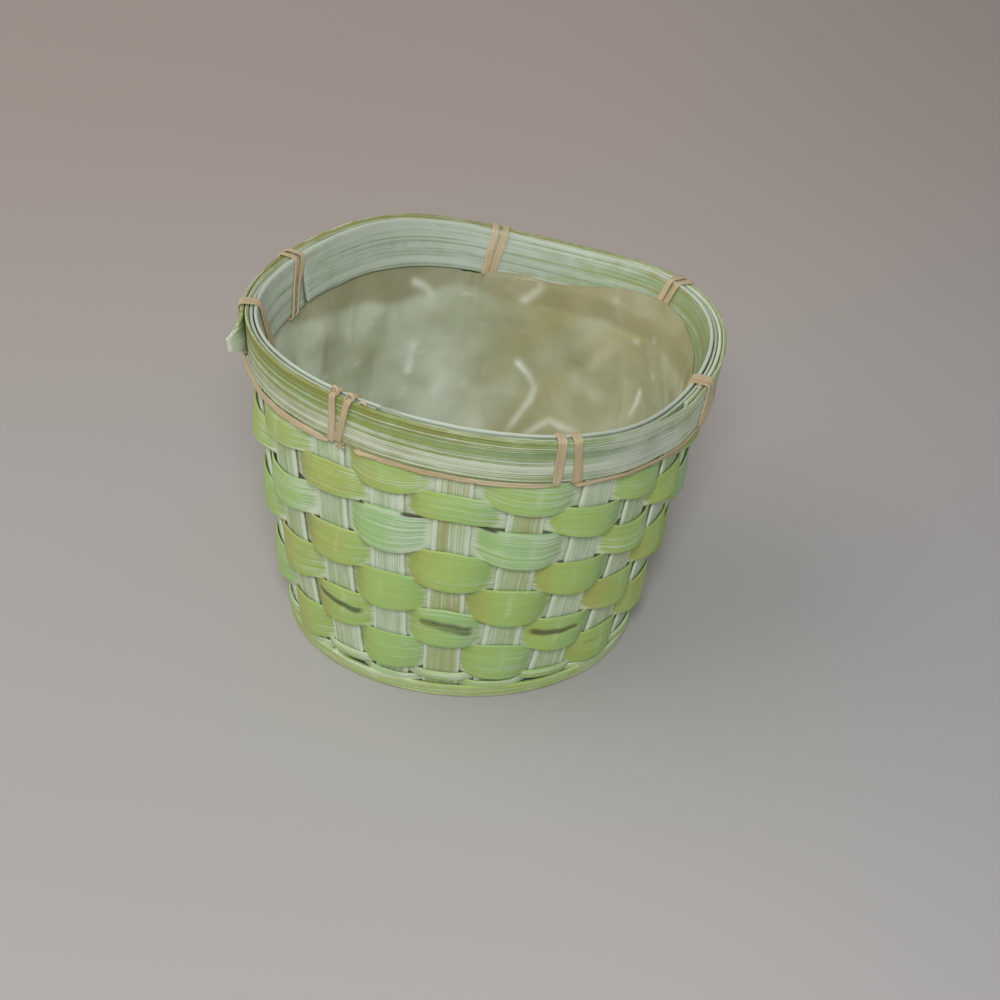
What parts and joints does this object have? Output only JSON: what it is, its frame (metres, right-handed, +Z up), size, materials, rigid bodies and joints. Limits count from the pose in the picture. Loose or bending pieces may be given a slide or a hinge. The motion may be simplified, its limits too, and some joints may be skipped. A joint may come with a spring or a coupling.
{
  "type": "bamboo planter basket",
  "caption": "Small round woven bamboo basket, whitewashed green, with a bound rim and a clear film liner for a potted plant",
  "frame": {"origin": "the middle of the foot, on the surface that the basket stands on, at the underside of the middle strip", "axes": "+Z up; -Y is the front, the side that the picture was taken from; +X is to the right seen from the front"},
  "size_m": [0.1474, 0.1444, 0.1094],
  "materials": {
    "upright_bamboo": "split bamboo, whitewashed over green stain, fine fibres along the strip",
    "weaver_bamboo": "split bamboo, apple green stain with a thin white wash, satin",
    "foot_bamboo": "split bamboo, green stain with a white wash, satin",
    "rim_bamboo": "split bamboo, olive green stain, white wash in the grain",
    "tie_strand": "natural tan rattan peel, flat, matt",
    "liner_film": "clear thin film, crumpled, glossy"
  },
  "bodies": {
    "root": {"upright_front_back_1": "upright_bamboo", "upright_front_back_2": "upright_bamboo", "upright_front_back_3": "upright_bamboo", "upright_front_back_4": "upright_bamboo", "upright_front_back_5": "upright_bamboo", "upright_side_side_1": "upright_bamboo", "upright_side_side_2": "upright_bamboo", "upright_side_side_3": "upright_bamboo", "upright_side_side_4": "upright_bamboo", "upright_side_side_5": "upright_bamboo", "weaver_row_1": "weaver_bamboo", "weaver_row_2": "weaver_bamboo", "weaver_row_3": "weaver_bamboo", "weaver_row_4": "weaver_bamboo", "weaver_row_5": "weaver_bamboo", "weaver_row_6": "weaver_bamboo", "weaver_row_7": "weaver_bamboo", "foot_weaver_lower": "foot_bamboo", "foot_weaver_upper": "foot_bamboo", "foot_hoop": "foot_bamboo", "rim_outer_hoop": "rim_bamboo", "rim_inner_hoop": "rim_bamboo", "rim_filler": "rim_bamboo", "rim_tie_1": "tie_strand", "rim_tie_2": "tie_strand", "rim_tie_3": "tie_strand", "rim_tie_4": "tie_strand", "rim_tie_5": "tie_strand", "rim_tie_6": "tie_strand", "rim_tie_7": "tie_strand", "film_liner": "liner_film"}
  },
  "joints": []
}
